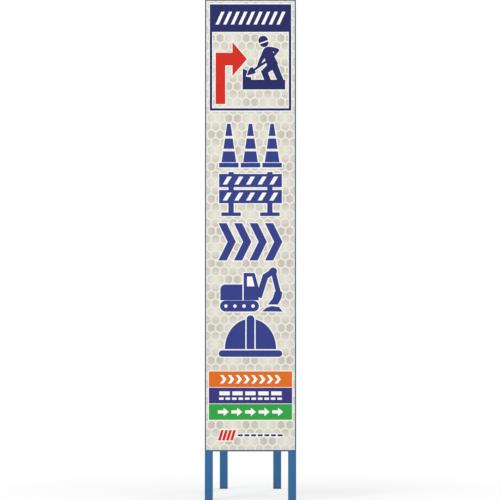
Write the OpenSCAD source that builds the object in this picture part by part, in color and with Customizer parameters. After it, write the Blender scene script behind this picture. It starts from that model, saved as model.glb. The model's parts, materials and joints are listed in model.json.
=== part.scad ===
// Folding roadworks sign frame.
// A welded angle-steel front frame carries a slim composite board with a reflective sheet.
// A narrower rear stand swings out on two hinge bolts, and a flat hook stay drops over
// the stand's round bar and holds it open. Here the stand is open, as the sign is used.
// The origin is on the ground, midway between the front and rear feet. The board faces -Y.

/* [Board] */
// Width of the board
board_w = 275; // [200:1:600]
// Height of the board
board_h = 1400; // [1100:1:1700]
// Thickness of the board's plastic core
core_t = 2.4; // [1.4:0.1:5.4]
// Thickness of each aluminium skin on the core
skin_t = 0.3; // [0.2:0.05:0.5]
// Thickness of the reflective sheet
sheet_t = 0.4; // [0.2:0.05:0.8]
// Margin of bare skin round the reflective sheet
sheet_margin = 0.5; // [0.2:0.1:3]

/* [Front frame] */
// Rim of the frame that shows round the board
rim = 3.5; // [1:0.5:6]
// Length of the front legs below the frame's bottom edge
leg_below = 152; // [80:1:300]
// Backward lean of the front frame, in degrees
front_lean = 10; // [6:0.5:14]
// Height of the upper cross bar's middle, along the frame
upper_bar_z = 1080; // [1000:1:1250]
// Height of the lower cross bar's middle, along the frame
lower_bar_z = 420; // [250:1:550]

/* [Angle steel] */
// Width of each flange
flange = 25; // [22:0.5:30]
// Thickness of each flange
flange_t = 3; // [2.5:0.25:4]
// Radius of the rolled root fillet
root_r = 4; // [2:0.25:5]
// Radius of the rolled toes
toe_r = 2; // [1:0.25:2.25]
// Least flat edge left beside a rolled toe
toe_flat = 0.5; // [0.25:0.05:1]

/* [Flat bars] */
// Width of the flat cross bars
bar_w = 25; // [19:0.5:32]
// Thickness of the flat cross bars
bar_t = 3; // [2:0.25:4.5]

/* [Rear stand] */
// Distance from the frame's outer edge in to the stand's outer edge
stand_inset = 45; // [42:0.5:60]
// Backward lean of the stand when it is open, in degrees
rear_lean = 8; // [5:0.5:14]
// Gap between the folded stand and the cross bars
fold_gap = 2.5; // [1:0.25:6]
// Distance from the hinge down to the stand's top bar
top_bar_drop = 100; // [60:1:200]
// Distance from the rear feet up to the stand's weight bar
weight_bar_up = 210; // [180:1:350]
// Diameter of the round bar that takes the hook
hook_bar_d = 10; // [8:0.5:12]

/* [Hinge] */
// Distance from the frame's top down to the hinge axis
hinge_drop = 100; // [70:1:220]
// Thickness of the hinge lugs
lug_t = 4; // [3:0.5:6]
// Radius of the hinge lugs' round ends
lug_r = 12; // [10:0.25:13]
// Gap between the legs' round ears and the hinge rail above them
ear_gap = 1; // [0.5:0.25:4]
// Length of the ear below the hinge axis, where the leg's front flange is cut away
ear_drop = 16; // [13:0.5:30]

/* [Stay] */
// Height of the stay's pivot, along the frame
stay_z = 700; // [600:1:850]
// Distance that the folded hook bar lies below the stay's pivot
hook_below = 50; // [35:1:80]
// Width of the stay's flat bar
stay_w = 22; // [19:0.5:25]
// Thickness of the stay's flat bar
stay_t = 4.5; // [3:0.25:6]
// Width of the nose behind the hook's notch
nose_w = 9; // [7:0.5:14]
// Radius of the stay's upper corner above the nose
nose_r = 7; // [2:0.5:9]
// Forward slope of the notch's lead-in, in degrees
mouth_slope = 45; // [40:1:50]
// Thickness of the two stay lugs
stay_lug_t = 3; // [2.5:0.25:4.5]

/* [Fasteners] */
// Diameter of the hinge bolts and of the stay's bolt
bolt_d = 8; // [6:0.5:8]
// Width across the flats of the bolt heads and nuts
hex_af = 13; // [10:0.5:14]
// Angle of the chamfer on the bolt heads and nuts, in degrees
hex_chamfer = 30; // [20:1:45]
// Height of the bolt heads
head_h = 5.3; // [4:0.1:6]
// Height of the hexagon of the lock nuts
nut_h = 6; // [4:0.1:7]
// Height of the lock nuts' round collar
collar_h = 2; // [1:0.1:3]
// Diameter of the lock nuts' round collar
collar_d = 12; // [10:0.1:12.5]
// Length of bolt that stands out of the nut
bolt_tip = 2; // [1:0.5:6]
// Outer diameter of the washers
washer_d = 16; // [14:0.5:17]
// Thickness of the washers
washer_t = 1.6; // [1:0.1:2]
// Diameter of the board's rivets
rivet_d = 3.2; // [2.4:0.1:4.8]
// Diameter of the rivet heads
rivet_head_d = 6.4; // [5:0.1:9.5]
// Height of the rivet heads
rivet_head_h = 1; // [0.6:0.1:2]
// Diameter of the rivets' formed tails
rivet_tail_d = 5; // [4.5:0.1:7]
// Length of the rivets' formed tails
rivet_tail = 3; // [2:0.5:6]
// Number of rivets down each side of the board
rivet_count = 6; // [3:1:9]
// Distance from the board's ends to the first and last rivets
rivet_end = 60; // [20:1:90]
// Distance from the frame's outer edge in to the rivets
rivet_in = 12; // [11:0.5:16]

/* [Clearances] */
// Radial clearance of bolts and rivets in drilled holes
hole_clear = 0.1; // [0.05:0.05:0.3]
// Radial clearance of the bolts in the nuts
nut_clear = 0.05; // [0.05:0.05:0.15]
// Side clearance at the two pivots
side_clear = 0.2; // [0.1:0.05:0.4]
// Clearance of the hook's notch round the hook bar
hook_clear = 0.3; // [0.2:0.05:0.8]
// Clearance of coped ends from the root fillets
cope_clear = 0.5; // [0.3:0.1:1.5]

/* [Hidden] */
$fn = 64;

// Colours
paint = "#3a6a99";
zinc = "#b9bcc0";
aluminium = "#c9ccce";
core_black = "#26282b";
film = "#e6e2d8";

// Front frame, in its own plane: X across, Y back from its front face, Z up along the stiles
frame_w = board_w + 2 * rim;
frame_h = leg_below + board_h + 2 * rim;
board_z = leg_below + rim;
toe_x = frame_w / 2 - flange;
toe_round = min(toe_r, flange_t - toe_flat);
bars_back = max(flange_t, bar_t);
back_skin_y = -skin_t;
core_y = back_skin_y - core_t;
front_skin_y = core_y - skin_t;
sheet_y = front_skin_y - sheet_t;
rivet_x = frame_w / 2 - rivet_in;
rivet_step = (board_h - 2 * rivet_end) / (rivet_count - 1);

// Hinge axis in the frame's plane
ear_r = flange / 2;
hinge_y = bars_back + fold_gap + ear_r;
hinge_z = frame_h - hinge_drop;
hinge_rail_top = hinge_z + ear_r + ear_gap + flange_t;

// Stance on the ground
hinge_up = hinge_z * cos(front_lean) - hinge_y * sin(front_lean);
hinge_back = hinge_z * sin(front_lean) + hinge_y * cos(front_lean);
stance_depth = hinge_back + hinge_up * tan(rear_lean) + ear_r / cos(rear_lean);
front_foot_y = -stance_depth / 2;
fold_angle = front_lean + rear_lean;

// Rear stand, in its own plane: origin on the hinge axis, Z up along the legs
stand_w = frame_w - 2 * stand_inset;
leg_len = (hinge_up + ear_r * sin(rear_lean)) / cos(rear_lean);
stand_toe_x = stand_w / 2 - flange;
hook_bar_drop = hinge_z - stay_z + hook_below;

// Stay: from its pivot on the front frame to the middle of the hook bar
stay_y = hinge_y;
pivot_back = stay_z * sin(front_lean) + stay_y * cos(front_lean);
pivot_up = stay_z * cos(front_lean) - stay_y * sin(front_lean);
hook_back = hinge_back + hook_bar_drop * sin(rear_lean);
hook_up = hinge_up - hook_bar_drop * cos(rear_lean);
stay_len = norm([hook_back - pivot_back, hook_up - pivot_up]);
stay_angle = atan2(hook_up - pivot_up, hook_back - pivot_back);
stay_lift = 90 - front_lean - stay_angle;
echo(stand_folds_through = fold_angle, stay_lifts_through = stay_lift);
notch_r = hook_bar_d / 2 + hook_clear;
stay_washer_x = stay_t / 2 + side_clear;
stay_lug_x = stay_washer_x + washer_t;
stay_lug_out = stay_lug_x + stay_lug_t;

// Hinge stack along X, from the leg outwards
hinge_washer_x = stand_w / 2 + side_clear;
hinge_lug_x = hinge_washer_x + washer_t;
hinge_head_x = hinge_lug_x + lug_t;
inner_washer_x = stand_w / 2 - flange_t - side_clear - washer_t;

// Placement of the front frame, the open stand and the hooked stay
module in_frame() translate([0, front_foot_y, 0]) rotate([-front_lean, 0, 0]) children();
module in_stand()
    translate([0, front_foot_y + hinge_back, hinge_up]) rotate([rear_lean, 0, 0]) children();
module in_stay()
    translate([0, front_foot_y + pivot_back, pivot_up]) rotate([stay_angle, 0, 0]) children();

module on_side(side) mirror([side > 0 ? 1 : 0, 0, 0]) children();

// Everything below the ground, which cuts the feet level
module ground()
    translate([-frame_w, -stance_depth, -frame_h]) cube([2 * frame_w, 2 * stance_depth, frame_h]);

// A round bar or hole along X
module rod_x(r, x0, x1) translate([x0, 0, 0]) rotate([0, 90, 0]) cylinder(r = r, h = x1 - x0);

// A profile drawn in Y and Z, extruded along X
module plate_x(x0, x1) translate([x0, 0, 0]) rotate([90, 0, 90]) linear_extrude(x1 - x0) children();

// What rounds off an outer corner: the arc's middle is at the origin
module corner_cut(r) difference() {
    square(2 * r);
    circle(r);
}

// Rolled equal angle: the outer corner at the origin, flanges along +X and +Y
module angle_toe(x, y) translate([x - toe_round, y - toe_round]) corner_cut(toe_round);

module angle_profile() difference() {
    union() {
        square([flange, flange_t]);
        square([flange_t, flange]);
        translate([flange_t, flange_t]) difference() {
            square(root_r);
            translate([root_r, root_r]) circle(root_r);
        }
    }
    angle_toe(flange, flange_t);
    angle_toe(flange_t, flange);
}

// Angle along X whose second flange points back from its top edge
module cross_angle(length) plate_x(-length / 2, length / 2) mirror([0, 1]) angle_profile();

// Flat bar between the toes of two angles
module flat_bar(half) translate([-half, 0, -bar_w / 2]) cube([2 * half, bar_t, bar_w]);

// Places of the rivets down both sides, with Z of the children pointing to the front
module at_rivets()
    for (side = [-1, 1], i = [0 : rivet_count - 1])
        translate([side * rivet_x, 0, board_z + rivet_end + i * rivet_step])
            rotate([90, 0, 0]) children();

module rivet_holes()
    at_rivets() translate([0, 0, -frame_w]) cylinder(r = rivet_d / 2 + hole_clear, h = 2 * frame_w);

// Front frame
module stile(side) color(paint) difference() {
    in_frame() on_side(side) difference() {
        translate([-frame_w / 2, 0, 0]) linear_extrude(frame_h) angle_profile();
        rivet_holes();
    }
    ground();
}

// The rail's ends are coped to sit behind the stiles' front flanges and clear their root fillets
module rail_cope() {
    snip = root_r + cope_clear;
    cope_box(toe_x, flange_t, flange);
    cope_box(toe_x, flange_t + snip, -flange_t);
    cope_box(frame_w / 2 - flange_t - snip, flange_t + snip, flange);
}

// Takes off everything outside x, in front of y and below z
module cope_box(x, y, z)
    translate([x, y - 2 * flange, z - 3 * flange]) cube([2 * flange, 2 * flange, 3 * flange]);

module top_rail() color(paint) in_frame() translate([0, 0, frame_h]) difference() {
    cross_angle(frame_w - 2 * flange_t);
    rail_cope();
    mirror([1, 0, 0]) rail_cope();
}

module hinge_rail() color(paint) in_frame() translate([0, 0, hinge_rail_top]) cross_angle(2 * toe_x);

module cross_bar(z) color(paint) in_frame() translate([0, 0, z]) flat_bar(toe_x);

module hinge_lug(side) color(paint) in_frame() on_side(side) translate([0, hinge_y, hinge_z]) difference() {
    plate_x(-hinge_head_x, -hinge_lug_x) union() {
        circle(lug_r);
        translate([flange_t - hinge_y, hinge_rail_top - hinge_z - flange])
            square([hinge_y - flange_t, flange - flange_t - root_r - cope_clear]);
    }
    rod_x(bolt_d / 2 + hole_clear, -frame_w, 0);
}

module stay_lugs() color(paint) in_frame() translate([0, stay_y, stay_z])
    for (side = [-1, 1]) on_side(side) difference() {
        plate_x(-stay_lug_out, -stay_lug_x) union() {
            circle(stay_w / 2);
            translate([bar_t - stay_y, -stay_w / 2]) square([stay_y - bar_t, stay_w]);
        }
        rod_x(bolt_d / 2 + hole_clear, -frame_w, 0);
    }

// Board: composite core with two skins, and the reflective sheet on its front
module board_layer(y, thickness, margin = 0) in_frame() difference() {
    translate([margin - board_w / 2, y, board_z + margin])
        cube([board_w - 2 * margin, thickness, board_h - 2 * margin]);
    rivet_holes();
}

module board_core() color(core_black) board_layer(core_y, core_t);
module board_front_skin() color(aluminium) board_layer(front_skin_y, skin_t);
module board_back_skin() color(aluminium) board_layer(back_skin_y, skin_t);
module reflective_sheet() color(film) board_layer(sheet_y, sheet_t, sheet_margin);

// Blind rivets: a low dome on the sheet, a shank, and a formed tail behind the flange
module rivet() {
    dome_r = (pow(rivet_head_d / 2, 2) + pow(rivet_head_h, 2)) / (2 * rivet_head_h);
    translate([0, 0, -sheet_y]) intersection() {
        translate([0, 0, rivet_head_h - dome_r]) sphere(dome_r);
        cylinder(r = rivet_head_d, h = rivet_head_d);
    }
    translate([0, 0, -flange_t]) cylinder(r = rivet_d / 2, h = flange_t - sheet_y);
    translate([0, 0, -flange_t - rivet_tail]) cylinder(d = rivet_tail_d, h = rivet_tail);
}

module board_rivets() color(film) in_frame() at_rivets() rivet();

// Rear stand
module rear_leg(side) color(paint) difference() {
    in_stand() on_side(side) difference() {
        union() {
            translate([-stand_w / 2, -ear_r, -leg_len]) linear_extrude(leg_len) angle_profile();
            rod_x(ear_r, -stand_w / 2, flange_t - stand_w / 2);
        }
        translate([flange_t - stand_w / 2, -flange, -ear_drop])
            cube([flange, 2 * flange, ear_drop + flange]);
        rod_x(bolt_d / 2 + hole_clear, -stand_w, 0);
    }
    ground();
}

module stand_bar(z) color(paint) in_stand() translate([0, -ear_r, z]) flat_bar(stand_toe_x);

module hook_bar() color(paint) in_stand() translate([0, 0, -hook_bar_drop])
    rod_x(hook_bar_d / 2, flange_t - stand_w / 2, stand_w / 2 - flange_t);

// Stay: Y runs from its pivot to the hook bar
module stay_profile() difference() {
    end_y = stay_len + notch_r + nose_w;
    union() {
        circle(stay_w / 2);
        translate([0, -stay_w / 2]) square([end_y, stay_w]);
    }
    circle(bolt_d / 2 + hole_clear);
    translate([stay_len, 0]) circle(notch_r);
    translate([stay_len, 0]) polygon([
        [notch_r, 0], [notch_r, -stay_w],
        [-notch_r - stay_w * tan(mouth_slope), -stay_w], [-notch_r, 0]
    ]);
    translate([end_y - nose_r, stay_w / 2 - nose_r]) corner_cut(nose_r);
}

module hook_stay() color(paint) in_stay() plate_x(-stay_t / 2, stay_t / 2) stay_profile();

// Fasteners along X: the head sits at the outer end and the nut at the inner end
module hexagon(h) rotate([0, 90, 0]) intersection() {
    cylinder(r = hex_af / sqrt(3), h = h, $fn = 6);
    cylinder(r1 = hex_af / 2 + h / tan(hex_chamfer), r2 = hex_af / 2, h = h);
}

module bolt(head_x, tip_x) {
    rod_x(bolt_d / 2, tip_x, head_x);
    translate([head_x, 0, 0]) hexagon(head_h);
}

module washer(x) difference() {
    rod_x(washer_d / 2, x, x + washer_t);
    rod_x(bolt_d / 2 + hole_clear, x - washer_t, x + 2 * washer_t);
}

module lock_nut(face_x) difference() {
    translate([face_x, 0, 0]) mirror([1, 0, 0]) union() {
        hexagon(nut_h);
        rod_x(collar_d / 2, 0, nut_h + collar_h);
    }
    rod_x(bolt_d / 2 + nut_clear, face_x - 2 * (nut_h + collar_h), face_x + nut_h);
}

module at_hinges()
    in_frame() translate([0, hinge_y, hinge_z]) for (side = [0, 1]) mirror([side, 0, 0]) children();
module at_stay_pivot() in_frame() translate([0, stay_y, stay_z]) children();

module hinge_bolts()
    color(zinc) at_hinges() bolt(hinge_head_x, inner_washer_x - nut_h - collar_h - bolt_tip);
module hinge_washers() color(zinc) at_hinges() {
    washer(hinge_washer_x);
    washer(inner_washer_x);
}
module hinge_nuts() color(zinc) at_hinges() lock_nut(inner_washer_x);

module stay_bolt()
    color(zinc) at_stay_pivot() bolt(stay_lug_out, -stay_lug_out - nut_h - collar_h - bolt_tip);
module stay_washers() color(zinc) at_stay_pivot() for (x = [stay_washer_x, -stay_lug_x]) washer(x);
module stay_nut() color(zinc) at_stay_pivot() lock_nut(-stay_lug_out);

stile(-1);  // left_stile
stile(1);  // right_stile
top_rail();
hinge_rail();
cross_bar(upper_bar_z);  // upper_cross_bar
cross_bar(stay_z);  // stay_rail
cross_bar(lower_bar_z);  // lower_cross_bar
cross_bar(leg_below + bar_w / 2);  // bottom_rail
hinge_lug(-1);  // left_hinge_lug
hinge_lug(1);  // right_hinge_lug
stay_lugs();
board_core();
board_front_skin();
board_back_skin();
reflective_sheet();
board_rivets();
rear_leg(-1);  // left_rear_leg
rear_leg(1);  // right_rear_leg
stand_bar(-top_bar_drop);  // stand_top_bar
hook_bar();
stand_bar(weight_bar_up - leg_len);  // weight_bar
hook_stay();
hinge_bolts();
hinge_washers();
hinge_nuts();
stay_bolt();
stay_washers();
stay_nut();
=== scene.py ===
import itertools
import json
import math
import random

import bmesh
import bpy
from mathutils import Matrix, Vector
from mathutils.geometry import delaunay_2d_cdt


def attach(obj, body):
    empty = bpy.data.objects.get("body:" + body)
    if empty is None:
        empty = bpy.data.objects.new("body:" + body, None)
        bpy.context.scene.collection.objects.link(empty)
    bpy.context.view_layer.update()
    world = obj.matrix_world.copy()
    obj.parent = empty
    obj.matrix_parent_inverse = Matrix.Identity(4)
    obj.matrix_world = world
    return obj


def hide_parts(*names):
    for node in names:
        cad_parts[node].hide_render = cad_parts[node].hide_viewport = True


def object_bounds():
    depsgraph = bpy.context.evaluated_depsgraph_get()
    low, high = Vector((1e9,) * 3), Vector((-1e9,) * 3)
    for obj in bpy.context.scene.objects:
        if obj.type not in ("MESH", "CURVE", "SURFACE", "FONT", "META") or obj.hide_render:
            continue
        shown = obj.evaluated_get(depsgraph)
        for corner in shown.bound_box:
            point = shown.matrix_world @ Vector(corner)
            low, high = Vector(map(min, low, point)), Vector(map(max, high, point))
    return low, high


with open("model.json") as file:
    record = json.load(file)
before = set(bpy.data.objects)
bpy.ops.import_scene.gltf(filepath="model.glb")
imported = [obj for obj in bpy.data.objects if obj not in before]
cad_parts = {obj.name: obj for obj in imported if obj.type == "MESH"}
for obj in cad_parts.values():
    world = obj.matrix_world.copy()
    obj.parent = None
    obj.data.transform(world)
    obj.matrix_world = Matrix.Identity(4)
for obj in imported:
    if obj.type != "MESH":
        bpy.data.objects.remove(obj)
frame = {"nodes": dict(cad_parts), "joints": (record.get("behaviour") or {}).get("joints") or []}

cad_low, cad_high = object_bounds()
random.seed(11)

# Looks of a folding roadworks sign: a printed honeycomb sheet, painted angle steel with its
# welds, and zinc-plated hardware. Sizes are in millimetres unless a comment says otherwise.
MM = 0.001

# Angle steel, and how far the front frame and the rear stand lean
FLANGE = 25.0
FLANGE_T = 3.0
ROOT_R = 4.0
FRONT_LEAN = math.radians(10)
REAR_LEAN = math.radians(8)

# Directions in the frame's and the stand's upright coordinates
RIGHT = Vector((1, 0, 0))
BACK = Vector((0, 1, 0))
UP = Vector((0, 0, 1))


def leaned(start, lean):
    """Takes upright millimetres around a start to the leaned model in metres."""
    return Matrix.Translation(start) @ Matrix.Rotation(lean, 4, "X") @ Matrix.Scale(MM, 4)


# The front frame is measured from between its feet, and the rear stand from its hinge
joint_places = {joint["name"]: joint["pos_m"] for joint in frame["joints"]}
FRAME_PLACE = leaned((0, cad_low.y, 0), -FRONT_LEAN)
STAND_PLACE = leaned(joint_places["stand_fold"], REAR_LEAN)


def local_points(node, place):
    """A CAD node's points in the upright coordinates of the frame or the stand."""
    upright = place.inverted()
    return [upright @ vertex.co for vertex in frame["nodes"][node].data.vertices]


def local_box(node, place):
    """Lowest and highest corner of a CAD node in those coordinates."""
    points = local_points(node, place)
    low = Vector([min(values) for values in zip(*points)])
    high = Vector([max(values) for values in zip(*points)])
    return low, high


# Printed places are measured from the middle of the sheet's top edge: X right, Y up, Z out
sheet_low, sheet_high = local_box("reflective_sheet", FRAME_PLACE)
SHEET_W = sheet_high.x - sheet_low.x
SHEET_H = sheet_high.z - sheet_low.z
SHEET_T = sheet_high.y - sheet_low.y
SHEET_PLACE = (
    FRAME_PLACE
    @ Matrix.Translation((0, sheet_low.y, sheet_high.z))
    @ Matrix.Rotation(math.radians(90), 4, "X")
)

# The sheet's honeycomb: pressed cells in offset rows, with a net between them
CELL_ACROSS = 26.95
CELL_ROW = 25.11
FIRST_ROW = 9.4
SPARE_CELLS = 2
NET_WIDTH = 5.8
CELL_CORNER = 3.0
CORNER_POINTS = 5
CELL_DEPTH = 0.12
CELL_SLOPE = 0.5
CELL_RING = 2.6
NET_MERGE = 0.05

# Tones of the film, from 0 at its darkest to 1 in the net, a painted shade on the sloped ring round
# each cell, and soft patches every few cells
NET_TONE = 1.0
CELL_TOP_TONE = 0.8
CELL_TONE = 0.40
CELL_UNEVEN = 0.06
RING_PAINTED_SHADE = 0.10
PATCH_CELLS = 4
PATCH_DOWN = 15.9
PATCH_DEPTH = 0.68

# Colours in screen steps; a surface with two of them runs from one to the other
TOP_STEP = 255
ENAMEL_BLUES = (36, 97, 147), (42, 103, 152)
ENAMEL_WORN = (44, 60, 78)
# A dark blue painted into the enamel's corners as shade
ENAMEL_CORNER_SHADE = (34, 46, 60)
ENAMEL_SCUFF = (94, 104, 114)
ZINC_GREYS = (176, 180, 186), (206, 207, 204)
ALUMINIUM_GREYS = (186, 189, 191), (204, 206, 207)
CORE_BLACKS = (34, 35, 37), (58, 59, 61)
RIVET_CREAMS = (214, 209, 197), (226, 222, 212)
NYLON_WHITES = (206, 211, 214), (226, 229, 230)
FILM_DARK = (195, 190, 178)
FILM_LIGHT = (228, 225, 213)
FILM_NET = (233, 230, 219)
FILM_GRAIN = (198, 190, 176)
INK_GRAIN_STEPS = 5
INKS = {
    "print_white": (245, 245, 242),
    "print_navy": (30, 33, 92),
    "print_blue": (46, 57, 129),
    "print_violet": (50, 47, 119),
    "print_red": (206, 38, 22),
    "print_orange": (220, 105, 22),
    "print_green": (44, 157, 62),
}
WHITE = (1.0, 1.0, 1.0, 1.0)


def linear(colour):
    """A colour given in screen steps, as linear light by the sRGB curve."""
    shares = [step / TOP_STEP for step in colour]
    lights = [s / 12.92 if s <= 0.04045 else ((s + 0.055) / 1.055) ** 2.4 for s in shares]
    return (*lights, 1.0)


# Materials
class Nodes:
    """A node tree whose nodes are added and joined in one call each."""

    def __init__(self, tree):
        self.tree = tree

    def put(self, socket, value):
        """Joins a socket to another one, or sets its value."""
        if isinstance(value, bpy.types.NodeSocket):
            self.tree.links.new(value, socket)
        else:
            socket.default_value = value

    def add(self, kind, inputs=None, **settings):
        """A new node, whose inputs are given by name or by number."""
        node = self.tree.nodes.new(kind)
        for key, value in settings.items():
            setattr(node, key, value)
        for key, value in (inputs or {}).items():
            self.put(node.inputs[key], value)
        return node

    def arithmetic(self, operation, *values, clamped=False):
        """One step, such as MULTIPLY or COSINE."""
        inputs = dict(enumerate(values))
        return self.add("ShaderNodeMath", inputs, operation=operation, use_clamp=clamped).outputs[0]

    def times(self, one, other):
        return self.arithmetic("MULTIPLY", one, other)

    def fit(self, value, low, high, to_low=0.0, to_high=1.0):
        """A value moved from one range to another."""
        inputs = {
            "Value": value, "From Min": low, "From Max": high, "To Min": to_low, "To Max": to_high,
        }
        return self.add("ShaderNodeMapRange", inputs).outputs[0]

    def background_rays(self):
        """1 for the rays that should see a white background: camera, mirror and see-through ones."""
        rays = self.add("ShaderNodeLightPath").outputs
        seen = rays["Is Camera Ray"]
        for name in ("Is Glossy Ray", "Is Transmission Ray"):
            seen = self.arithmetic("ADD", seen, rays[name], clamped=True)
        return seen


# The values of a noise between which a mottle fades: widely, narrowly, or only in specks
SOFT = (0.3, 0.7)
CRISP = (0.35, 0.65)
SPECKS = (0.5, 0.62)

# A Mix node has a set of like-named sockets for each kind of value; these are those of a colour
MIX_SHARE = 0
MIX_ONE = 6
MIX_OTHER = 7
MIX_RESULT = 2

# Where edge wear begins and is full, as the cosine between a face and its rounded edge
EDGE_BEGINS = 0.995
EDGE_FULL = 0.8
EDGE_SAMPLES = 4

# Where the painted shade in corners begins and is full, as the share of the surroundings that is open
CORNER_BEGINS = 0.95
CORNER_FULL = 0.5
CORNER_SAMPLES = 8


class Paint(Nodes):
    """A material whose patterns lie in the object's own coordinates."""

    SOCKETS = {
        "colour": "Base Color",
        "rough": "Roughness",
        "metal": "Metallic",
        "normal": "Normal",
        "shine": "Specular IOR Level",
    }

    def __init__(self, name):
        self.made = bpy.data.materials.new(name)
        self.made.use_nodes = True
        super().__init__(self.made.node_tree)
        self.shader = self.tree.nodes["Principled BSDF"]
        self.place = self.add("ShaderNodeTexCoord").outputs["Object"]

    def stretched(self, across, deep, tall, middle=(0, 0, 0)):
        """Coordinates in pattern sizes, upright on the board, which leans back."""
        inputs = {
            "Vector": self.place, "Location": middle, "Rotation": (-FRONT_LEAN, 0, 0),
            "Scale": (across * MM, deep * MM, tall * MM),
        }
        return self.add("ShaderNodeMapping", inputs, vector_type="TEXTURE").outputs[0]

    def axes(self, where):
        """X, Y and Z of coordinates, by name."""
        return self.add("ShaderNodeSeparateXYZ", {"Vector": where}).outputs

    def noise(self, scale, detail, where=None):
        inputs = {"Vector": where or self.place, "Scale": scale, "Detail": detail}
        return self.add("ShaderNodeTexNoise", inputs).outputs[0]

    def mottle(self, scale, detail, low=0.0, high=1.0, contrast=SOFT):
        """Noise that runs from a low value to a high one."""
        return self.fit(self.noise(scale, detail), *contrast, low, high)

    def mix(self, share, one, other):
        inputs = {MIX_SHARE: share, MIX_ONE: one, MIX_OTHER: other}
        return self.add("ShaderNodeMix", inputs, data_type="RGBA").outputs[MIX_RESULT]

    def shades(self, share, one, other):
        """A mix of two colours given in screen steps."""
        return self.mix(share, linear(one), linear(other))

    def stain(self, body, where, amount, colour):
        """A colour given in screen steps laid over another, only where it belongs."""
        return self.mix(self.times(where, amount), body, linear(colour))

    def soft_edges(self, radius):
        """Normals that round the edges off, radius in millimetres."""
        return self.add("ShaderNodeBevel", {"Radius": radius * MM}, samples=EDGE_SAMPLES).outputs[0]

    def edge_share(self, rounded):
        """How near the surface is to an edge, from 0 to 1."""
        face = self.add("ShaderNodeNewGeometry").outputs["Normal"]
        cosine = self.add("ShaderNodeVectorMath", {0: rounded, 1: face}, operation="DOT_PRODUCT")
        return self.fit(cosine.outputs["Value"], EDGE_BEGINS, EDGE_FULL)

    def corner_share(self, reach):
        """How deep the surface lies in a corner, from 0 to 1, looking that many millimetres out."""
        inputs = {"Distance": reach * MM}
        around = self.add("ShaderNodeAmbientOcclusion", inputs, samples=CORNER_SAMPLES)
        return self.fit(around.outputs["AO"], CORNER_BEGINS, CORNER_FULL)

    def bump(self, height, strength, depth, normal=None):
        """Normals that follow a height, depth in millimetres."""
        inputs = {"Height": height, "Strength": strength, "Distance": depth * MM}
        if normal:
            inputs["Normal"] = normal
        return self.add("ShaderNodeBump", inputs).outputs[0]

    def surface(self, **sockets):
        """Sets the shader's sockets and gives the finished material."""
        for key, value in sockets.items():
            self.put(self.shader.inputs[self.SOCKETS[key]], value)
        return self.made


SCUFF_HEIGHT = 30.0


def blue_enamel():
    """Satin enamel with a faint orange peel, worn edges, painted shade in corners and scuffed feet."""
    paint = Paint("blue_enamel")
    rounded = paint.soft_edges(radius=1.0)
    body = paint.shades(paint.mottle(scale=7, detail=4), *ENAMEL_BLUES)
    wear = paint.mottle(scale=160, detail=4, low=0.2, high=0.7, contrast=CRISP)
    body = paint.stain(body, paint.edge_share(rounded), wear, ENAMEL_WORN)
    # Painted shade: corners where the surroundings close in are darkened, in mottled patches
    corner_shade_mottle = paint.mottle(scale=45, detail=4, low=0.45, high=0.75)
    body = paint.stain(body, paint.corner_share(reach=6.0), corner_shade_mottle, ENAMEL_CORNER_SHADE)
    near_ground = paint.fit(paint.axes(paint.place)["Z"], SCUFF_HEIGHT * MM, 0.0)
    scratches = paint.mottle(scale=420, detail=5, high=0.5, contrast=SPECKS)
    body = paint.stain(body, near_ground, scratches, ENAMEL_SCUFF)
    peel = paint.noise(scale=650, detail=2)
    return paint.surface(
        colour=body,
        rough=paint.mottle(scale=60, detail=3, low=0.34, high=0.5),
        normal=paint.bump(peel, strength=0.12, depth=0.3, normal=rounded),
        shine=0.35,
    )


def bright_zinc():
    """Zinc plate with a cloudy bloom."""
    paint = Paint("bright_zinc")
    grain = paint.noise(scale=1500, detail=2)
    return paint.surface(
        colour=paint.shades(paint.mottle(scale=180, detail=4), *ZINC_GREYS),
        metal=1.0,
        rough=paint.mottle(scale=400, detail=3, low=0.24, high=0.42),
        normal=paint.bump(grain, strength=0.1, depth=0.1, normal=paint.soft_edges(radius=0.5)),
    )


def rolled_aluminium():
    """Coil-coated skin with faint rolling streaks along the board."""
    paint = Paint("rolled_aluminium")
    streaks = paint.noise(scale=1.0, detail=3, where=paint.stretched(across=2.4, deep=2.4, tall=400))
    return paint.surface(
        colour=paint.shades(paint.fit(streaks, *SOFT), *ALUMINIUM_GREYS),
        metal=0.8,
        rough=paint.mottle(scale=12, detail=4, low=0.36, high=0.48),
        normal=paint.bump(streaks, strength=0.06, depth=0.1),
    )


def black_core():
    """Saw-cut plastic."""
    paint = Paint("black_core")
    cuts = paint.noise(scale=1.0, detail=2, where=paint.stretched(across=3.3, deep=17, tall=0.7))
    return paint.surface(
        colour=paint.shades(cuts, *CORE_BLACKS),
        rough=0.62,
        normal=paint.bump(cuts, strength=0.2, depth=0.1),
        shine=0.3,
    )


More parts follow.
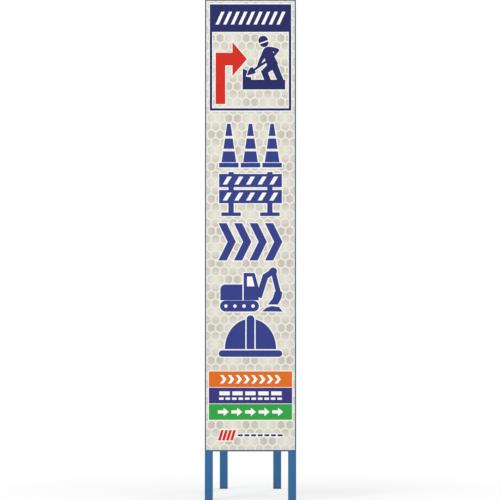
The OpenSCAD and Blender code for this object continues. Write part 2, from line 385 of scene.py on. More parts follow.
def honeycomb_film():
    """Prismatic sheet: the cells run through darker and paler patches, and the net is palest."""
    paint = Paint("honeycomb_film")
    tone = paint.add("ShaderNodeAttribute", attribute_name="tone").outputs["Fac"]
    turn = PATCH_CELLS / (2 * math.pi)
    middle = SHEET_PLACE @ Vector((0, -PATCH_DOWN, 0))
    where = paint.stretched(across=CELL_ACROSS * turn, deep=1, tall=CELL_ROW * turn, middle=middle)
    angles = paint.axes(where)
    wave_across = paint.arithmetic("COSINE", angles["X"])
    wave_up = paint.arithmetic("COSINE", angles["Z"])
    depth = paint.fit(tone, 0.0, NET_TONE, -PATCH_DEPTH, 0.0)
    patchy = paint.arithmetic("MULTIPLY_ADD", paint.times(wave_across, wave_up), depth, tone)
    ramp = paint.add("ShaderNodeValToRGB", {"Fac": patchy})
    darkest, palest = ramp.color_ramp.elements
    darkest.color = linear(FILM_DARK)
    palest.color = linear(FILM_NET)
    pale = ramp.color_ramp.elements.new(CELL_TOP_TONE)
    pale.color = linear(FILM_LIGHT)
    grain = paint.mottle(scale=1400, detail=2, high=0.12, contrast=CRISP)
    prisms = paint.add("ShaderNodeTexVoronoi", {"Vector": paint.place, "Scale": 900.0})
    return paint.surface(
        colour=paint.mix(grain, ramp.outputs["Color"], linear(FILM_GRAIN)),
        rough=paint.mottle(scale=30, detail=3, low=0.3, high=0.42),
        normal=paint.bump(prisms.outputs["Distance"], strength=0.08, depth=0.1),
        shine=0.35,
    )


def printed(name, colour):
    """Screen-print ink with a trace of grain, on a surface that is not quite even."""
    paint = Paint(name)
    thin = [min(TOP_STEP, step + INK_GRAIN_STEPS) for step in colour]
    return paint.surface(
        colour=paint.shades(paint.mottle(scale=1100, detail=3, contrast=CRISP), colour, thin),
        rough=paint.mottle(scale=25, detail=3, low=0.4, high=0.52),
        normal=paint.bump(paint.noise(scale=900, detail=2), strength=0.06, depth=0.1),
        shine=0.2,
    )


def painted_rivet():
    """Cream paint on small heads."""
    paint = Paint("painted_rivet")
    return paint.surface(
        colour=paint.shades(paint.mottle(scale=700, detail=3, contrast=CRISP), *RIVET_CREAMS),
        rough=0.42,
        normal=paint.bump(paint.noise(scale=1600, detail=2), strength=0.1, depth=0.1),
        shine=0.4,
    )


def nylon_insert():
    """Milky plastic."""
    paint = Paint("nylon_insert")
    return paint.surface(
        colour=paint.shades(paint.mottle(scale=900, detail=2, contrast=CRISP), *NYLON_WHITES),
        rough=0.45,
    )


inks = {name: printed(name, colour) for name, colour in INKS.items()}
enamel = blue_enamel()
zinc = bright_zinc()
aluminium = rolled_aluminium()
core = black_core()
film_paint = honeycomb_film()
rivet_paint = painted_rivet()
nylon = nylon_insert()

# Meshes
SHARP_ANGLE = math.radians(35)
TURNED_SIDES = 32
TRIANGLES_INSIDE = 1
POINT_MERGE = 0.001


def placed(name, data):
    """Puts a mesh, lamp or camera into the scene."""
    made = bpy.data.objects.new(name, data)
    bpy.context.scene.collection.objects.link(made)
    return made


def piece(name, bm, place, body, paint, smooth=False):
    """Turns a mesh in millimetres into a piece that rides on a CAD body."""
    bmesh.ops.recalc_face_normals(bm, faces=bm.faces[:])
    bm.transform(place)
    mesh = bpy.data.meshes.new(name)
    bm.to_mesh(mesh)
    bm.free()
    if smooth:
        mesh.polygons.foreach_set("use_smooth", [True] * len(mesh.polygons))
        mesh.set_sharp_from_angle(angle=SHARP_ANGLE)
    mesh.materials.append(paint)
    made = placed(name, mesh)
    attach(made, body)
    return made


def ring(centre, across, up, radius, count):
    """Points of a circle round a centre, in the plane of two directions."""
    turns = [2 * math.pi * i / count for i in range(count)]
    return [centre + radius * (math.cos(turn) * across + math.sin(turn) * up) for turn in turns]


def square_to(axis):
    """Two directions square to an axis and to each other."""
    turn = axis.to_track_quat("Z", "Y").to_matrix()
    return turn.col[0].copy(), turn.col[1].copy()


def skin(bm, rings, looped=False):
    """Joins rings of points into a closed skin, with flat ends unless the rings run in a circle."""
    made = [[bm.verts.new(point) for point in points] for points in rings]
    followers = made[1:] + made[:1] if looped else made[1:]
    for near, far in zip(made, followers):
        for i in range(len(near)):
            j = (i + 1) % len(near)
            bm.faces.new((near[i], near[j], far[j], far[i]))
    if not looped:
        bm.faces.new(made[0])
        bm.faces.new(made[-1])


def lathe(bm, start, axis, profile, count=TURNED_SIDES):
    """A turned shape: each step of the profile is a radius and a distance along a unit axis."""
    across, up = square_to(axis)
    skin(bm, [ring(start + axis * along, across, up, radius, count) for radius, along in profile])


def plates(shapes, low, high):
    """Thin closed plates of all shapes joined: each is an outer outline followed by its holes."""
    points, outlines, parts = [], [], []
    for outer, *holes in shapes:
        hole_numbers = range(len(outlines) + 1, len(outlines) + 1 + len(holes))
        parts.append((len(outlines), set(hole_numbers)))
        for outline in (outer, *holes):
            outlines.append(range(len(points), len(points) + len(outline)))
            points += [Vector(point) for point in outline]
    filled = delaunay_2d_cdt(points, [], outlines, TRIANGLES_INSIDE, POINT_MERGE)
    corners, _, triangles, _, _, origins = filled
    bm = bmesh.new()
    made = [bm.verts.new((x, y, low)) for x, y in corners]
    for triangle, origin in zip(triangles, origins):
        if any(outer in origin and not holes.intersection(origin) for outer, holes in parts):
            bm.faces.new([made[i] for i in triangle])
    loose = [corner for corner in made if not corner.link_faces]
    bmesh.ops.delete(bm, geom=loose, context="VERTS")
    raised = bmesh.ops.extrude_face_region(bm, geom=bm.faces[:])["geom"]
    tops = [part for part in raised if isinstance(part, bmesh.types.BMVert)]
    bmesh.ops.translate(bm, verts=tops, vec=(0, 0, high - low))
    return bm


# Outlines, drawn counter-clockwise with Y up
# A sharp corner reaches out at most its distance divided by this
MITRE_LIMIT = 0.4


def rectangle(left, bottom, right, top):
    return [(left, bottom), (right, bottom), (right, top), (left, top)]


def arc(x, y, radius, start, end, steps=14, rise=None):
    """Points of a circle's arc in degrees, or of an ellipse's when its rise is given."""
    turns = [math.radians(start + (end - start) * i / steps) for i in range(steps + 1)]
    return [(x + radius * math.cos(t), y + (rise or radius) * math.sin(t)) for t in turns]


def disc(x, y, radius, steps=28):
    return arc(x, y, radius, start=0, end=360, steps=steps)[:-1]


def stadium(left, bottom, right, top):
    """A bar with round ends."""
    radius = (top - bottom) / 2
    middle = (top + bottom) / 2
    return arc(right - radius, middle, radius, -90, 90) + arc(left + radius, middle, radius, 90, 270)


def slanted(left, bottom, width, height, slant):
    """A stripe that leans to the right by its slant."""
    return [
        (left, bottom), (left + width, bottom), (left + width + slant, bottom + height),
        (left + slant, bottom + height),
    ]


def chevron(left, y, thick, reach, half):
    """An arrow head of even thickness that points right."""
    return [
        (left, y - half), (left + thick, y - half), (left + thick + reach, y), (left + thick, y + half),
        (left, y + half), (left + reach, y),
    ]


def strip(path, width):
    """A bar of even width along a bent path."""
    points = [Vector(point) for point in path]
    legs = [(end - start).normalized() for start, end in zip(points, points[1:])]
    left, right = [], []
    for point, into, onward in zip(points, legs[:1] + legs, legs + legs[-1:]):
        along = (into + onward).normalized()
        across = Vector((-along.y, along.x)) * width / 2 / max(MITRE_LIMIT, along.dot(onward))
        left.append(point + across)
        right.append(point - across)
    return right + left[::-1]


def slanted_row(left, count, step, width, height, slant):
    """Slanted stripes side by side, half above and half below the line."""
    return [[slanted(left + i * step, -height / 2, width, height, slant)] for i in range(count)]


def dash_row(left, count, step, width, bottom, top):
    """Dashes side by side."""
    starts = [left + i * step for i in range(count)]
    return [[rectangle(start, bottom, start + width, top)] for start in starts]


def chevron_row(count, step, thick, reach, half):
    """Chevrons side by side, around the middle of their row."""
    left = -((count - 1) * step + thick + reach) / 2
    return [[chevron(left + i * step, 0, thick, reach, half)] for i in range(count)]


def grow(outline, by):
    """The outline moved outward by a distance, or inward by a negative one."""
    count = len(outline)
    points = [Vector(point) for point in outline]
    grown = []
    for i in range(count):
        into = (points[i] - points[i - 1]).normalized()
        onward = (points[(i + 1) % count] - points[i]).normalized()
        out = Vector((into.y + onward.y, -into.x - onward.x)).normalized()
        grown.append(points[i] + out * by / max(MITRE_LIMIT, out.dot(Vector((into.y, -into.x)))))
    return grown


def round_corners(outline, by, steps):
    """The outline with each corner turned into a curve that starts and ends at that distance."""
    points = [Vector(point) for point in outline]
    rounded = []
    for i, point in enumerate(points):
        start = point + (points[i - 1] - point).normalized() * by
        end = point + (points[(i + 1) % len(points)] - point).normalized() * by
        for step in range(steps):
            share = step / (steps - 1)
            rounded.append(start.lerp(point, share).lerp(point.lerp(end, share), share))
    return rounded


# The reflective sheet, with its honeycomb cells pressed in
def cell_outlines():
    """One cell's share of the sheet, its rim, the foot of its slope and its middle."""
    half = CELL_ACROSS / 2
    side = (CELL_ROW**2 - half**2) / (2 * CELL_ROW)
    apex = CELL_ROW - side
    share = [(half, -side), (half, side), (0, apex), (-half, side), (-half, -side), (0, -apex)]
    rim = NET_WIDTH / 2
    insets = (rim, rim + CELL_SLOPE, rim + CELL_SLOPE + CELL_RING)
    return share, *[round_corners(grow(share, -inset), CELL_CORNER, CORNER_POINTS) for inset in insets]


def honeycomb():
    """Cells over more than the whole sheet, with a tone on every face."""
    bm = bmesh.new()
    tone = bm.faces.layers.float.new("tone")
    heights = (0, 0, -CELL_DEPTH, -CELL_DEPTH)
    cell = list(zip(cell_outlines(), heights))
    columns = math.ceil(SHEET_W / CELL_ACROSS) + SPARE_CELLS
    rows = math.ceil(SHEET_H / CELL_ROW) + SPARE_CELLS
    for row, column in itertools.product(range(rows), range(columns)):
        shade = CELL_TONE + random.uniform(-CELL_UNEVEN, CELL_UNEVEN)
        x = (column - (columns - 1) / 2 + row % 2 / 2) * CELL_ACROSS
        y = FIRST_ROW - row * CELL_ROW
        outer, upper, lower, inner = [
            [bm.verts.new((x + px, y + py, z)) for px, py in outline] for outline, z in cell
        ]
        for i in range(len(outer)):
            first = i * CORNER_POINTS
            last = first + CORNER_POINTS - 1
            for k in range(first, last):
                bm.faces.new((outer[i], upper[k + 1], upper[k]))[tone] = NET_TONE
            onward = (outer[i - len(outer) + 1], upper[last - len(upper) + 1])
            bm.faces.new((outer[i], *onward, upper[last]))[tone] = NET_TONE
        for i in range(len(upper)):
            j = i - len(upper) + 1
            # The sloped ring round the cell's floor is darker: painted shade of the pressed cell's edge
            bm.faces.new((upper[i], upper[j], lower[j], lower[i]))[tone] = shade - RING_PAINTED_SHADE
            bm.faces.new((lower[i], lower[j], inner[j], inner[i]))[tone] = shade - RING_PAINTED_SHADE
        bm.faces.new(inner)[tone] = shade
    bmesh.ops.remove_doubles(bm, verts=bm.verts[:], dist=NET_MERGE)
    return bm, tone


def reflective_film():
    """The honeycomb trimmed to the sheet, with the sheet's edges and back."""
    bm, tone = honeycomb()
    sides = [
        ((SHEET_W / 2, 0, 0), (1, 0, 0)),
        ((-SHEET_W / 2, 0, 0), (-1, 0, 0)),
        ((0, 0, 0), (0, 1, 0)),
        ((0, -SHEET_H, 0), (0, -1, 0)),
    ]
    for point, outward in sides:
        everything = bm.verts[:] + bm.edges[:] + bm.faces[:]
        bmesh.ops.bisect_plane(bm, geom=everything, plane_co=point, plane_no=outward, clear_outer=True)
    border = [edge for edge in bm.edges if edge.is_boundary]
    walls = bmesh.ops.extrude_edge_only(bm, edges=border)["geom"]
    for part in walls:
        if isinstance(part, bmesh.types.BMVert):
            part.co.z = -SHEET_T
        elif isinstance(part, bmesh.types.BMFace):
            part[tone] = NET_TONE
    rear_edges = [edge for edge in bm.edges if edge.is_boundary]
    for face in bmesh.ops.edgeloop_fill(bm, edges=rear_edges)["faces"]:
        face[tone] = NET_TONE
    return bm


film = piece(
    "reflective_film", reflective_film(), SHEET_PLACE, "front_frame", film_paint
)
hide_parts("reflective_sheet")

# Ink layers, as heights above the sheet: a white ground, a colour on it, white marks on that
GROUND_LAYER = (-0.03, 0.05)
INK_LAYER = (0.02, 0.1)
MARK_LAYER = (0.07, 0.15)
HALO = 3.0
INK_SPREAD = 1.2


def stamp(name, shapes, slot, down, layer, right=0.0, ink=None):
    """Prints flat shapes with their origin that far below the sheet's top edge."""
    place = SHEET_PLACE @ Matrix.Translation((right, -down, 0))
    return piece(name, plates(shapes, *layer), place, "front_frame", inks[ink or slot])


def spread(shapes, by):
    """Shapes whose outlines moved out, and whose holes closed up, by a distance."""
    return [[grow(outer, by)] + [grow(hole, -by) for hole in holes] for outer, *holes in shapes]


def stamp_with_halo(name, shapes, slot, down, right=0.0, halo=HALO):
    """Prints shapes in a colour on a white ground that stands out round each of them."""
    ground = [[grow(outlines[0], INK_SPREAD + halo)] for outlines in shapes]
    stamp(name + "_halo", ground, "print_white", down, GROUND_LAYER, right)
    stamp(name, spread(shapes, INK_SPREAD), slot, down, INK_LAYER, right)


# Framed panel at the top of the sheet, whose upper part is a solid header
PANEL_TOP = 10.6
PANEL_H = 332.4
PANEL_HALF_W = 126.1
PANEL_LINE = 7.4
HEADER_H = 86.4
panel_outer = rectangle(-PANEL_HALF_W, -PANEL_H, PANEL_HALF_W, 0)
panel_window = rectangle(
    PANEL_LINE - PANEL_HALF_W, PANEL_LINE - PANEL_H, PANEL_HALF_W - PANEL_LINE, -HEADER_H
)
panel = [[panel_outer, panel_window]]
stamp("panel", panel, "print_navy", PANEL_TOP, INK_LAYER)
stamp("panel_halo", spread(panel, HALO), "print_white", PANEL_TOP, GROUND_LAYER)

# Hazard stripes in the header
STRIPE_COUNT = 9
STRIPE_STEP = 23.6
STRIPE_W = 10.0
STRIPE_H = 40.0
STRIPE_SLANT = 18.0
stripes_w = (STRIPE_COUNT - 1) * STRIPE_STEP + STRIPE_W + STRIPE_SLANT
stripes = slanted_row(-stripes_w / 2, STRIPE_COUNT, STRIPE_STEP, STRIPE_W, STRIPE_H, STRIPE_SLANT)
stamp("header_stripes", stripes, "print_white", PANEL_TOP + HEADER_H / 2, MARK_LAYER)

# Red turning arrow: a stem, an arm to the right and a head, around the top left of the arm
ARROW_DOWN = 163.2
ARROW_LEFT = -107.0
STEM_W = 27.6
STEM_H = 158.1
ARM_H = 37.5
NECK_X = 52.3
TIP_X = 94.7
HEAD_HALF = 50.4
HEAD_Y = -ARM_H / 2
arrow = [
    (0, -STEM_H), (STEM_W, -STEM_H), (STEM_W, -ARM_H), (NECK_X, -ARM_H), (NECK_X, HEAD_Y - HEAD_HALF),
    (TIP_X, HEAD_Y), (NECK_X, HEAD_Y + HEAD_HALF), (NECK_X, 0), (0, 0),
]
stamp_with_halo("turn_arrow", [[arrow]], "print_red", ARROW_DOWN, ARROW_LEFT)

# Digging figure, around the middle of the ground's lower edge
WORKER_DOWN = 275.8
WORKER_RIGHT = 41.5
WORKER_HALO = 2.4


def roadworker():
    """The common roadworks figure, digging on a strip of ground with a mound."""
    ground = [
        (-64.9, 0), (64.9, 0), (64.9, 28.3), (-39.5, 28.3), (-41, 36.2), (-57.4, 38.4), (-51.8, 57.2),
        (-64.4, 62.4),
    ]
    foot_y = 26.0
    back = [(61, foot_y), (41.6, 75.7), (42.2, 81.2), (31.6, 102.1), (44.7, 118.2)]
    shoulders = [(46.7, 121.6), (44.7, 124.6), (37.2, 128.3), (20.2, 131.5), (10, 131.3), (4.3, 128.5)]
    arm = [(-0.7, 122.8), (-15, 88.3), (-20.5, 70.6), (-31.2, 62.4)]
    blade = [(-36.4, 68), (-42.5, 64.8), (-47.6, 56), (-51.4, 43.6), (-30.4, 49.2), (-26.6, 52)]
    handle = [(-29.2, 58.1), (-18.2, 65.9), (8.6, 83.5)]
    front_leg = [(10.4, 74.1), (-8.2, 55), (3.4, foot_y), (21.3, foot_y), (11.6, 51.6)]
    back_leg = [(26.6, 61.6), (43.4, foot_y)]
    under_arm = [(-10.4, 78.6), (6.4, 88.3), (2.2, 99)]
    elbow = disc(29.9, 115.2, radius=3.0, steps=16)
    body = back + shoulders + arm + blade + handle + front_leg + back_leg
    helmet = arc(-2, 151.5, radius=13.9, start=9.8, end=198, steps=22) + [(-14.6, 144.9)]
    face = arc(0.2, 145.6, radius=13.3, start=207.2, end=370.8, steps=22)
    return [[ground], [body, under_arm, elbow], [helmet], [face]]


stamp_with_halo("worker", roadworker(), "print_navy", WORKER_DOWN, WORKER_RIGHT, WORKER_HALO)


# Five blue signs down the sheet, each drawn around its own middle and about 195 wide
def cones():
    """Three traffic cones with pale collars."""
    step = 67
    foot_half, foot_low, foot_high = 29, -67, -55
    low_half, top_half, low, top = 21.5, 4.5, -51, 67
    blocks = [(low, -19), (-9, 21), (31, top)]
    slope = (low_half - top_half) / (top - low)
    shapes = []
    for x in (-step, 0, step):
        shapes.append([rectangle(x - foot_half, foot_low, x + foot_half, foot_high)])
        for y0, y1 in blocks:
            wide = low_half - slope * (y0 - low)
            slim = low_half - slope * (y1 - low)
            shapes.append([[(x - wide, y0), (x + wide, y0), (x + slim, y1), (x - slim, y1)]])
    return shapes


def barricade():
    """Two striped boards on a pair of posts with feet."""
    board_half, board_h, edge = 96, 39, 6
    upper, lower = 22, -28
    stripe_w, slant, step = 16, 16, 36
    post_x, post_half, post_low, post_top = 60, 7, -60, 67
    foot_half, foot_low, foot_high = 29, -68, -59
    shapes = []
    for bottom in (upper, lower):
        starts = [i * step - (stripe_w + slant) / 2 for i in (-2, -1, 0, 1, 2)]
        stripes = [slanted(x, bottom + edge, stripe_w, board_h - 2 * edge, slant) for x in starts]
        shapes.append([rectangle(-board_half, bottom, board_half, bottom + board_h), *stripes])
    post_parts = [(post_low, lower), (lower + board_h, upper), (upper + board_h, post_top)]
    for x in (-post_x, post_x):
        for low, high in post_parts:
            shapes.append([rectangle(x - post_half, low, x + post_half, high)])
        shapes.append([rectangle(x - foot_half, foot_low, x + foot_half, foot_high)])
    return shapes


def excavator():
    """An excavator on tracks, digging to the right."""
    tracks = stadium(-93, -68, 25, -36)
    wheels = [disc(x, -52, radius=6.5, steps=20) for x in (-76, -48, -20, 8)]
    house = [(-26, -33), (-26, 14)] + arc(-78, 0, radius=14, start=90, end=180, steps=8) + [(-92, -33)]
    cab = [(-20, -33), (24, -33), (24, 6), (12, 50), (-20, 50)]
    window = [(-12, 8), (14, 8), (6, 41), (-12, 41)]
    elbow_x, elbow_y = 70, 56
    boom = strip([(26, -24), (46, 40), (elbow_x, elbow_y)], width=16)
    elbow = disc(elbow_x, elbow_y, radius=11)
    stick = strip([(elbow_x, elbow_y), (87, -12)], width=13)
    bucket = [(56, -46), (84, -46), (95, -26), (97, -8), (76, -8), (70, -28)]
    heap = [(38, -68), (97, -68), (88, -56), (66, -53), (50, -58)]
    return [[tracks, *wheels], [house], [cab, window], [boom], [elbow], [stick], [bucket], [heap]]


def hard_hat():
    """A hard hat seen from the side, with its ridge and brim."""
    brim = stadium(-97, -60, 97, -42)
    crown_y, crown_rise, crown_half = -36, 92, 78
    ridge_half, ridge_gap = 11, 6
    inner = ridge_half + ridge_gap
    meet = math.degrees(math.acos(inner / crown_half))
    right = [(inner, crown_y)] + arc(0, crown_y, crown_half, start=0, end=meet, rise=crown_rise)
    left = [(-x, y) for x, y in reversed(right)]
    ridge_top = arc(0, crown_y + crown_rise, ridge_half, start=0, end=180, steps=12)
    ridge = [(-ridge_half, crown_y), (ridge_half, crown_y)] + ridge_top
    return [[brim], [right], [left], [ridge]]


# Name, shapes, and how far the sign's middle is below the sheet's top edge
SIGNS = [
    ("cones", cones(), 452.2),
    ("barricade", barricade(), 602.8),
    ("chevrons", chevron_row(count=4, step=48, thick=23, reach=28, half=57), 752.2),
    ("excavator", excavator(), 900.2),
    ("hard_hat", hard_hat(), 1049.0),
]
for name, shapes, down in SIGNS:
    stamp_with_halo(name, shapes, "print_blue", down)

# Three coloured bands on one white ground, each with white marks
BAND_HALF_W = 128.5
BAND_TOP = 1155.2
BAND_STEP = 50.7
BAND_H = 49.0
BAND_GROUND = 2.4


def lane_dashes():
    """A row of long dashes over a row of short ones, like the lines of a road."""
    long_dashes = dash_row(left=-96, count=5, step=40, width=32, bottom=1, top=13)
    short_dashes = dash_row(left=-97, count=10, step=20, width=14, bottom=-13, top=-6)
    return long_dashes + short_dashes


def small_arrows():
    """Five arrows that point right."""
    step = 42
    tail_x, neck_x, tip_x = -17, 1, 17
    half, head_half = 5, 13
    outline = [
        (tail_x, -half), (neck_x, -half), (neck_x, -head_half), (tip_x, 0), (neck_x, head_half),
        (neck_x, half), (tail_x, half),
    ]
    return [[[(x + i * step, y) for x, y in outline]] for i in (-2, -1, 0, 1, 2)]


small_chevrons = chevron_row(count=8, step=24, thick=10, reach=10, half=13)
# Name, slot, ink and marks
BANDS = [
    ("orange_band", "print_orange", "print_orange", small_chevrons),
    ("blue_band", "print_blue", "print_violet", lane_dashes()),
    ("green_band", "print_green", "print_green", small_arrows()),
]
bands_low = -(len(BANDS) - 1) * BAND_STEP - BAND_H
bands_ground = grow(rectangle(-BAND_HALF_W, bands_low, BAND_HALF_W, 0), BAND_GROUND)
stamp("bands_ground", [[bands_ground]], "print_white", BAND_TOP, GROUND_LAYER)
band = [[rectangle(-BAND_HALF_W, -BAND_H, BAND_HALF_W, 0)]]
for i, (name, slot, ink, marks) in enumerate(BANDS):
    band_top = BAND_TOP + i * BAND_STEP
    stamp(name, band, slot, band_top, INK_LAYER, ink=ink)
    stamp(name + "_marks", marks, "print_white", band_top + BAND_H / 2, MARK_LAYER)

# Plain trim below the bands: a few red stripes and a dashed line
TRIM_DOWN = 1353.5
DASH_HALF_H = 2.0
trim_stripes = slanted_row(left=-99.0, count=4, step=12.5, width=6.4, height=30.0, slant=9.0)
trim_dashes = dash_row(
    left=-38.0, count=7, step=20.5, width=13.0, bottom=-DASH_HALF_H, top=DASH_HALF_H
)
stamp_with_halo("trim_stripes", trim_stripes, "print_red", TRIM_DOWN)
stamp_with_halo("trim_dashes", trim_dashes, "print_navy", TRIM_DOWN)

# Blind rivets with the hollow that the pulled mandrel leaves in each head
RIVET_COUNT = 6
RIVET_SHANK_R = 1.6
RIVET_HEAD_R = 3.2
HOLLOW_FLOOR_R = 0.72
HOLLOW_R = 0.9
HOLLOW_DEPTH = 0.7
HOLLOW_RIM = 0.15
# Angles along the head's arch in radians, and the tail's radius at shares of its length
HEAD_ANGLES = (0.5, 0.8, 1.1, 1.35, 1.57)
TAIL_PROFILE = [(2.25, 0.0), (2.5, 0.3), (2.125, 0.8), (1.12, 1.0)]


def rivet_profile(head_h, grip, tail):
    """Radius and depth from the middle of the head's hollow to the end of the tail."""
    arch = [(RIVET_HEAD_R * math.sin(t), head_h * (1 - math.cos(t))) for t in HEAD_ANGLES]
    held = head_h + grip
    return [
        (HOLLOW_FLOOR_R, HOLLOW_DEPTH), (HOLLOW_R, HOLLOW_RIM), *arch,
        (RIVET_SHANK_R, head_h), (RIVET_SHANK_R, held),
        *[(radius, held + tail * share) for radius, share in TAIL_PROFILE],
    ]


def board_rivets():
    """A column of rivets up each side of the board."""
    bm = bmesh.new()
    low, high = local_box("board_rivets", FRAME_PLACE)
    profile = rivet_profile(sheet_low.y - low.y, FLANGE_T - sheet_low.y, high.y - FLANGE_T)
    span = high.z - low.z - 2 * RIVET_HEAD_R
    for x in (low.x + RIVET_HEAD_R, high.x - RIVET_HEAD_R):
        for i in range(RIVET_COUNT):
            z = low.z + RIVET_HEAD_R + span * i / (RIVET_COUNT - 1)
            lathe(bm, Vector((x, low.y, z)), BACK, profile)
    return bm


rivets = piece(
    "blind_rivets", board_rivets(), FRAME_PLACE, "front_frame", rivet_paint, smooth=True
)
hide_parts("board_rivets")

# Weld beads, painted over with the frame: each stops short of the edges along its run
RIPPLE = 1.7
RIPPLE_STEPS = 4
RIPPLES_LEAST = 3
BEAD_R = 1.9
BEAD_SIDES = 12
BEAD_SHORT = 1.2
HOOK_BEAD_R = 1.7
HOOK_BEAD_SIDES = 10
# Shares of a bead's radius: between ripples, what a ripple adds, at the ends, and at random
BEAD_VALLEY = 0.84
BEAD_SWELL = 0.16
BEAD_END = 0.45
BEAD_UNEVEN = 0.04
# Dabs of weld: place inside the corner, depth sunk into the flange, and radius and height
DAB_IN = 2.7
DAB_SUNK = 0.4
DAB_SIDES = 20
DAB_PROFILE = [(1.6, 0), (2.7, 0.5), (2.8, 2.6), (2.3, 3.1), (1.2, 3.4)]


def rippled(ripples, along):
    """Share of a bead's radius at a share of its run."""
    return BEAD_VALLEY + BEAD_SWELL * abs(math.sin(math.pi * ripples * along))


def bead(bm, start, end):
    """A weld run: a round string that swells with each ripple and tapers at its ends."""
    run = end - start
    across, up = square_to(run)
    ripples = max(RIPPLES_LEAST, round(run.length / RIPPLE))
    steps = ripples * RIPPLE_STEPS
    rings = []
    for i in range(steps + 1):
        along = i / steps
        taper = min(1.0, BEAD_END + min(along, 1 - along) * run.length / (2 * BEAD_R))
        uneven = random.uniform(1 - BEAD_UNEVEN, 1 + BEAD_UNEVEN)
        radius = BEAD_R * rippled(ripples, along) * taper * uneven
        rings.append(ring(start + run * along, across, up, radius, BEAD_SIDES))
    skin(bm, rings)


def upright_bead(bm, x, y, low, high):
    """A weld run straight up."""
    bead(bm, Vector((x, y, low)), Vector((x, y, high)))


def bar_end_beads(bm, node, place):
    """Runs up the back of a bar, where its ends meet the toes of two angles."""
    low, high = local_box(node, place)
    for x in (low.x, high.x):
        upright_bead(bm, x, high.y, low.z + BEAD_SHORT, high.z - BEAD_SHORT)


def rail_beads(bm, node):
    """Runs up the back of an angle rail's front flange, below its root, at both ends."""
    low, high = local_box(node, FRAME_PLACE)
    toe, _ = local_box("lower_cross_bar", FRAME_PLACE)
    for x in (toe.x, -toe.x):
        upright_bead(bm, x, FLANGE_T, low.z + BEAD_SHORT, high.z - FLANGE_T - ROOT_R)


def top_corner_beads(bm):
    """Runs under the top rail's rear flange, where it meets the stiles' side flanges."""
    low, high = local_box("top_rail", FRAME_PLACE)
    under = high.z - FLANGE_T
    for x in (low.x, high.x):
        bead(bm, Vector((x, FLANGE_T + 2 * ROOT_R, under)), Vector((x, FLANGE - BEAD_SHORT, under)))


def cope_dabs(bm):
    """Dabs of weld that fill the snipped corners of the top rail, beside the stiles' root fillets."""
    low, high = local_box("top_rail", FRAME_PLACE)
    y = FLANGE_T + DAB_IN
    start = high.z - FLANGE_T - DAB_SUNK
    for x in (low.x + DAB_IN, high.x - DAB_IN):
        lathe(bm, Vector((x, y, start)), UP, DAB_PROFILE, DAB_SIDES)


def lug_beads(bm):
    """Runs down the outer faces of the hinge lugs and of the stay's two lugs."""
    rail_low, rail_high = local_box("hinge_rail", FRAME_PLACE)
    left_face = local_box("left_hinge_lug", FRAME_PLACE)[0].x
    right_face = local_box("right_hinge_lug", FRAME_PLACE)[1].x
    for x in (left_face, right_face):
        top = rail_high.z - FLANGE_T - 2 * ROOT_R
        upright_bead(bm, x, FLANGE_T, rail_low.z + BEAD_SHORT, top)
    low, high = local_box("stay_lugs", FRAME_PLACE)
    for x in (low.x, high.x):
        upright_bead(bm, x, low.y, low.z + BEAD_SHORT, high.z - BEAD_SHORT)


def hook_bar_beads(bm):
    """A run round each end of the round bar."""
    low, high = local_box("hook_bar", STAND_PLACE)
    bar_r = (high.z - low.z) / 2
    centre = (low + high) / 2
    ripples = round(2 * math.pi * bar_r / RIPPLE)
    steps = ripples * RIPPLE_STEPS
    for x in (low.x, high.x):
        rings = []
        for i in range(steps):
            turn = 2 * math.pi * i / steps
            out = math.cos(turn) * BACK + math.sin(turn) * UP
            middle = Vector((x, centre.y, centre.z)) + out * bar_r
            radius = HOOK_BEAD_R * rippled(ripples, i / steps)
            rings.append(ring(middle, out, RIGHT, radius, HOOK_BEAD_SIDES))
        skin(bm, rings, looped=True)


frame_welds = bmesh.new()
for node in ("upper_cross_bar", "stay_rail", "lower_cross_bar", "bottom_rail"):
    bar_end_beads(frame_welds, node, FRAME_PLACE)
for node in ("hinge_rail", "top_rail"):
    rail_beads(frame_welds, node)
top_corner_beads(frame_welds)
cope_dabs(frame_welds)
lug_beads(frame_welds)
piece("frame_welds", frame_welds, FRAME_PLACE, "front_frame", enamel, smooth=True)

stand_welds = bmesh.new()
for node in ("stand_top_bar", "weight_bar"):
    bar_end_beads(stand_welds, node, STAND_PLACE)
hook_bar_beads(stand_welds)
piece("stand_welds", stand_welds, STAND_PLACE, "rear_stand", enamel, smooth=True)

# Threads on the bolt tips, bare for a part of a turn at each end
THREAD_R = 4.0
THREAD_DEPTH = 0.35
THREAD_PITCH = 1.25
THREAD_STEPS = 32
THREAD_BARE = 0.3
# Half the width of a ridge at its foot, as a share of the pitch
RIDGE_HALF = 0.42

# Nylon rings of the lock nuts
NYLON_R = 5.2
NYLON_BORE_R = 4.1
NYLON_OUT = 0.2
NYLON_SIDES = 36


def thread(bm, start, length):
    """A thread's ridge wound along X round a bolt."""
    turns = abs(length) / THREAD_PITCH - 2 * THREAD_BARE
    steps = round(THREAD_STEPS * turns)
    pitch = math.copysign(THREAD_PITCH, length)
    half = RIGHT * (THREAD_PITCH * RIDGE_HALF)
    rings = []
    for i in range(steps + 1):
        wound = turns * i / steps
        out = math.cos(2 * math.pi * wound) * BACK + math.sin(2 * math.pi * wound) * UP
        middle = start + RIGHT * (pitch * (wound + THREAD_BARE))
        foot = middle + out * (THREAD_R - THREAD_DEPTH)
        rings.append([foot - half, middle + out * (THREAD_R + THREAD_DEPTH / 2), foot + half])
    skin(bm, rings)


def nylon_ring(bm, face, outward):
    """A ring that stands a little out of the nut's collar."""
    inside = face - RIGHT * outward * NYLON_OUT
    outside = face + RIGHT * outward * NYLON_OUT
    steps = [(inside, NYLON_BORE_R), (outside, NYLON_BORE_R), (outside, NYLON_R), (inside, NYLON_R)]
    rings = [ring(centre, BACK, UP, radius, NYLON_SIDES) for centre, radius in steps]
    skin(bm, rings, looped=True)


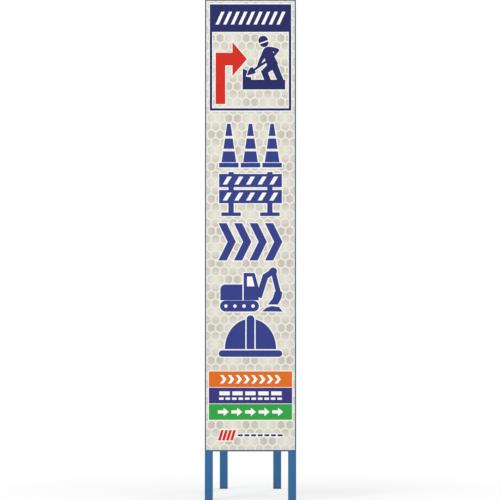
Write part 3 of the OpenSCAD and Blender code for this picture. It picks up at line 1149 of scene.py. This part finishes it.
def nearest_x(node):
    """How near a node's points come to the frame's middle line."""
    return min(abs(point.x) for point in local_points(node, FRAME_PLACE))


def collar_face(node, x):
    """The middle of a lock nut's collar, at that X."""
    low, high = local_box(node, FRAME_PLACE)
    middle = (low + high) / 2
    return Vector((x, middle.y, middle.z))


threads = bmesh.new()
rings_of_nylon = bmesh.new()
hinge_collar_x = nearest_x("hinge_nuts")
for side in (-1, 1):
    face = collar_face("hinge_nuts", side * hinge_collar_x)
    thread(threads, face, side * (nearest_x("hinge_bolts") - hinge_collar_x))
    nylon_ring(rings_of_nylon, face, -side)
stay_collar_x = local_box("stay_nut", FRAME_PLACE)[0].x
stay_face = collar_face("stay_nut", stay_collar_x)
thread(threads, stay_face, local_box("stay_bolt", FRAME_PLACE)[0].x - stay_collar_x)
nylon_ring(rings_of_nylon, stay_face, -1)
piece("bolt_threads", threads, FRAME_PLACE, "front_frame", zinc, smooth=True)
piece("nut_inserts", rings_of_nylon, FRAME_PLACE, "front_frame", nylon, smooth=True)

# Finishes of the CAD nodes, which are enamelled where nothing else is said
FINISHES = {
    zinc: ("hinge_bolts", "hinge_washers", "hinge_nuts", "stay_bolt", "stay_washers", "stay_nut"),
    aluminium: ("board_front_skin", "board_back_skin"),
    core: ("board_core",),
}
finish_of = {node: paint for paint, nodes in FINISHES.items() for node in nodes}
for name, node in frame["nodes"].items():
    node.data.materials.clear()
    node.data.materials.append(finish_of.get(name, enamel))

# White floor, in metres, that keeps the shadow near the feet and turns to plain white further out
FLOOR_HALF = 30.0
FLOOR_COLOUR = (0.97, 0.97, 0.97, 1.0)
SHADOW_NEAR = 0.35
SHADOW_FAR = 1.0
WHITE_SHARE_NEAR = 0.5


def white_floor():
    """Matt paint that the rays of the background see as white, more so further out."""
    paint = Paint("white_floor")
    paint.surface(colour=FLOOR_COLOUR, rough=0.9, shine=0.0)
    away = paint.add("ShaderNodeVectorMath", {0: paint.place}, operation="LENGTH").outputs["Value"]
    far = paint.fit(away, SHADOW_NEAR, SHADOW_FAR, WHITE_SHARE_NEAR, 1.0)
    plain = paint.times(far, paint.background_rays())
    white = paint.add("ShaderNodeEmission", {"Color": WHITE, "Strength": 1.0})
    inputs = {0: plain, 1: paint.shader.outputs[0], 2: white.outputs[0]}
    mixed = paint.add("ShaderNodeMixShader", inputs)
    paint.put(paint.tree.nodes["Material Output"].inputs["Surface"], mixed.outputs[0])
    return paint.made


floor_mesh = bpy.data.meshes.new("floor")
floor_corners = rectangle(-FLOOR_HALF, -FLOOR_HALF, FLOOR_HALF, FLOOR_HALF)
floor_mesh.from_pydata([(x, y, 0) for x, y in floor_corners], [], [(0, 1, 2, 3)])
floor_mesh.materials.append(white_floor())
floor = placed("floor", floor_mesh)

# Soft daylight: an even sky, which looks white to the rays of the background, and large lamps
SKY = 0.45
world = bpy.data.worlds.new("sky")
bpy.context.scene.world = world
world.use_nodes = True
sky = Nodes(world.node_tree)
sky_shader = sky.tree.nodes["Background"]
sky.put(sky_shader.inputs["Color"], WHITE)
sky.put(sky_shader.inputs["Strength"], sky.fit(sky.background_rays(), 0.0, 1.0, SKY, 1.0))


def facing(way):
    """How a lamp or camera is turned to look along a direction."""
    return way.to_track_quat("-Z", "Y").to_euler()


LAMP_AIM = Vector((0, 0, 0.75))
# Name, place in metres, side in metres, power in watts
LAMPS = [
    ("key", (-3.1, -3.2, 2.9), 2.4, 86.0),
    ("fill", (3.2, -3.2, 1.5), 2.6, 39.0),
    ("back", (1.6, 3.6, 3.2), 2.4, 63.0),
    ("top", (0.0, 0.0, 4.2), 2.6, 34.0),
]
for name, place, side, power in LAMPS:
    lamp = bpy.data.lights.new(name, "AREA")
    lamp.size = side
    lamp.energy = power
    hung = placed(name, lamp)
    hung.location = place
    hung.rotation_euler = facing(LAMP_AIM - Vector(place))
    hung.visible_camera = False

# Camera: square to the front, from a little above, far off with a long lens
CAMERA_RISE = math.radians(3.2)
LENS = 800.0
SENSOR = 36.0
SIGHT_METRES = 200.0
VIEW_WIDTH = 1546.2
AIM_RIGHT = -1.5
AIM_UP = 777.7
camera_data = bpy.data.cameras.new("camera")
camera_data.lens = LENS
camera_data.sensor_width = SENSOR
camera_data.clip_end = SIGHT_METRES
camera_data.dof.use_dof = False
camera = placed("camera", camera_data)
towards_camera = Vector((0, -math.cos(CAMERA_RISE), math.sin(CAMERA_RISE)))
aim = FRAME_PLACE @ Vector((AIM_RIGHT, 0, AIM_UP))
camera.location = aim + towards_camera * (VIEW_WIDTH * MM * LENS / SENSOR)
camera.rotation_euler = facing(-towards_camera)
bpy.context.scene.camera = camera
bpy.context.scene.view_settings.view_transform = "Standard"
